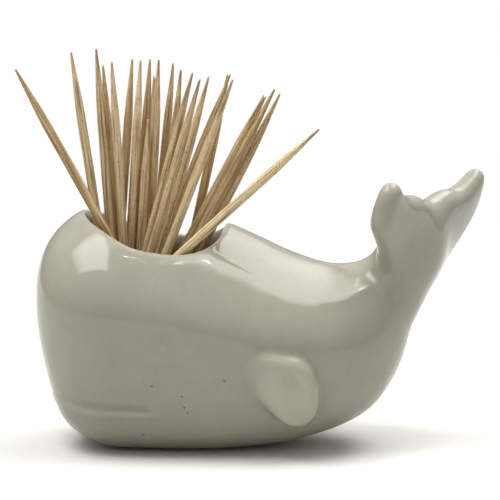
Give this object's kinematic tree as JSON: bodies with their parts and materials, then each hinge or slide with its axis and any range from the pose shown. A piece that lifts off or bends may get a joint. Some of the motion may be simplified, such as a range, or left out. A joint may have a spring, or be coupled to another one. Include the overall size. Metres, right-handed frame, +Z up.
{
  "type": "toothpick holder",
  "caption": "Whale-shaped glazed ceramic holder with raised tail flukes and a round well in its head, filled with pointed wooden toothpicks that lift out.",
  "frame": {"origin": "middle of the flat foot, on the surface that it stands on", "axes": "+X runs from the nose to the tail, +Z is up, and the whale's right side is at +Y"},
  "size_m": [0.1102, 0.0514, 0.0936],
  "materials": {
    "glaze": "glossy off-white glaze with fine dark specks",
    "wood": "bare birch with fine grain"
  },
  "bodies": {
    "holder": {"whale_body": "glaze"},
    "loose_01": {"toothpick_01": "wood"},
    "loose_02": {"toothpick_02": "wood"},
    "loose_03": {"toothpick_03": "wood"},
    "loose_04": {"toothpick_04": "wood"},
    "loose_05": {"toothpick_05": "wood"},
    "loose_06": {"toothpick_06": "wood"},
    "loose_07": {"toothpick_07": "wood"},
    "loose_08": {"toothpick_08": "wood"},
    "loose_09": {"toothpick_09": "wood"},
    "loose_10": {"toothpick_10": "wood"},
    "loose_11": {"toothpick_11": "wood"},
    "loose_12": {"toothpick_12": "wood"},
    "loose_13": {"toothpick_13": "wood"},
    "loose_14": {"toothpick_14": "wood"},
    "loose_15": {"toothpick_15": "wood"},
    "loose_16": {"toothpick_16": "wood"},
    "loose_17": {"toothpick_17": "wood"},
    "loose_18": {"toothpick_18": "wood"},
    "loose_19": {"toothpick_19": "wood"},
    "loose_20": {"toothpick_20": "wood"},
    "loose_21": {"toothpick_21": "wood"},
    "loose_22": {"toothpick_22": "wood"},
    "loose_23": {"toothpick_23": "wood"}
  },
  "joints": [
    {"name": "toothpick_01_draw", "type": "slide", "parent": "holder", "child": "loose_01", "axis": [-0.4923, 0.0702, 0.8676], "range_m": [0, 0.065]},
    {"name": "toothpick_02_draw", "type": "slide", "parent": "holder", "child": "loose_02", "axis": [-0.1449, -0.0098, 0.9894], "range_m": [0, 0.065]},
    {"name": "toothpick_03_draw", "type": "slide", "parent": "holder", "child": "loose_03", "axis": [-0.0688, 0, 0.9976], "range_m": [0, 0.065]},
    {"name": "toothpick_04_draw", "type": "slide", "parent": "holder", "child": "loose_04", "axis": [-0.063, 0.0102, 0.998], "range_m": [0, 0.065]},
    {"name": "toothpick_05_draw", "type": "slide", "parent": "holder", "child": "loose_05", "axis": [-0.0547, -0.0199, 0.9983], "range_m": [0, 0.065]},
    {"name": "toothpick_06_draw", "type": "slide", "parent": "holder", "child": "loose_06", "axis": [0.0718, 0.0298, 0.997], "range_m": [0, 0.065]},
    {"name": "toothpick_07_draw", "type": "slide", "parent": "holder", "child": "loose_07", "axis": [0.0619, 0, 0.9981], "range_m": [0, 0.065]},
    {"name": "toothpick_08_draw", "type": "slide", "parent": "holder", "child": "loose_08", "axis": [0.0639, -0.0124, 0.9979], "range_m": [0, 0.065]},
    {"name": "toothpick_09_draw", "type": "slide", "parent": "holder", "child": "loose_09", "axis": [0.0652, 0.0199, 0.9977], "range_m": [0, 0.065]},
    {"name": "toothpick_10_draw", "type": "slide", "parent": "holder", "child": "loose_10", "axis": [0.048, 0.0498, 0.9976], "range_m": [0, 0.065]},
    {"name": "toothpick_11_draw", "type": "slide", "parent": "holder", "child": "loose_11", "axis": [0.054, 0.01, 0.9985], "range_m": [0, 0.065]},
    {"name": "toothpick_12_draw", "type": "slide", "parent": "holder", "child": "loose_12", "axis": [0.0941, 0.0298, 0.9951], "range_m": [0, 0.065]},
    {"name": "toothpick_13_draw", "type": "slide", "parent": "holder", "child": "loose_13", "axis": [0.0948, 0.0199, 0.9953], "range_m": [0, 0.065]},
    {"name": "toothpick_14_draw", "type": "slide", "parent": "holder", "child": "loose_14", "axis": [0.2578, -0.05, 0.9649], "range_m": [0, 0.065]},
    {"name": "toothpick_15_draw", "type": "slide", "parent": "holder", "child": "loose_15", "axis": [0.2768, -0.08, 0.9576], "range_m": [0, 0.065]},
    {"name": "toothpick_16_draw", "type": "slide", "parent": "holder", "child": "loose_16", "axis": [0.2678, -0.06, 0.9616], "range_m": [0, 0.065]},
    {"name": "toothpick_17_draw", "type": "slide", "parent": "holder", "child": "loose_17", "axis": [0.3692, -0.0201, 0.9291], "range_m": [0, 0.065]},
    {"name": "toothpick_18_draw", "type": "slide", "parent": "holder", "child": "loose_18", "axis": [0.3569, -0.0798, 0.9307], "range_m": [0, 0.065]},
    {"name": "toothpick_19_draw", "type": "slide", "parent": "holder", "child": "loose_19", "axis": [0.208, 0.0299, 0.9777], "range_m": [0, 0.065]},
    {"name": "toothpick_20_draw", "type": "slide", "parent": "holder", "child": "loose_20", "axis": [0.4652, -0.0701, 0.8824], "range_m": [0, 0.065]},
    {"name": "toothpick_21_draw", "type": "slide", "parent": "holder", "child": "loose_21", "axis": [0.4549, -0.09, 0.886], "range_m": [0, 0.065]},
    {"name": "toothpick_22_draw", "type": "slide", "parent": "holder", "child": "loose_22", "axis": [0.4511, -0.05, 0.8911], "range_m": [0, 0.065]},
    {"name": "toothpick_23_draw", "type": "slide", "parent": "holder", "child": "loose_23", "axis": [0.7352, -0.05, 0.676], "range_m": [0, 0.065]}
  ]
}
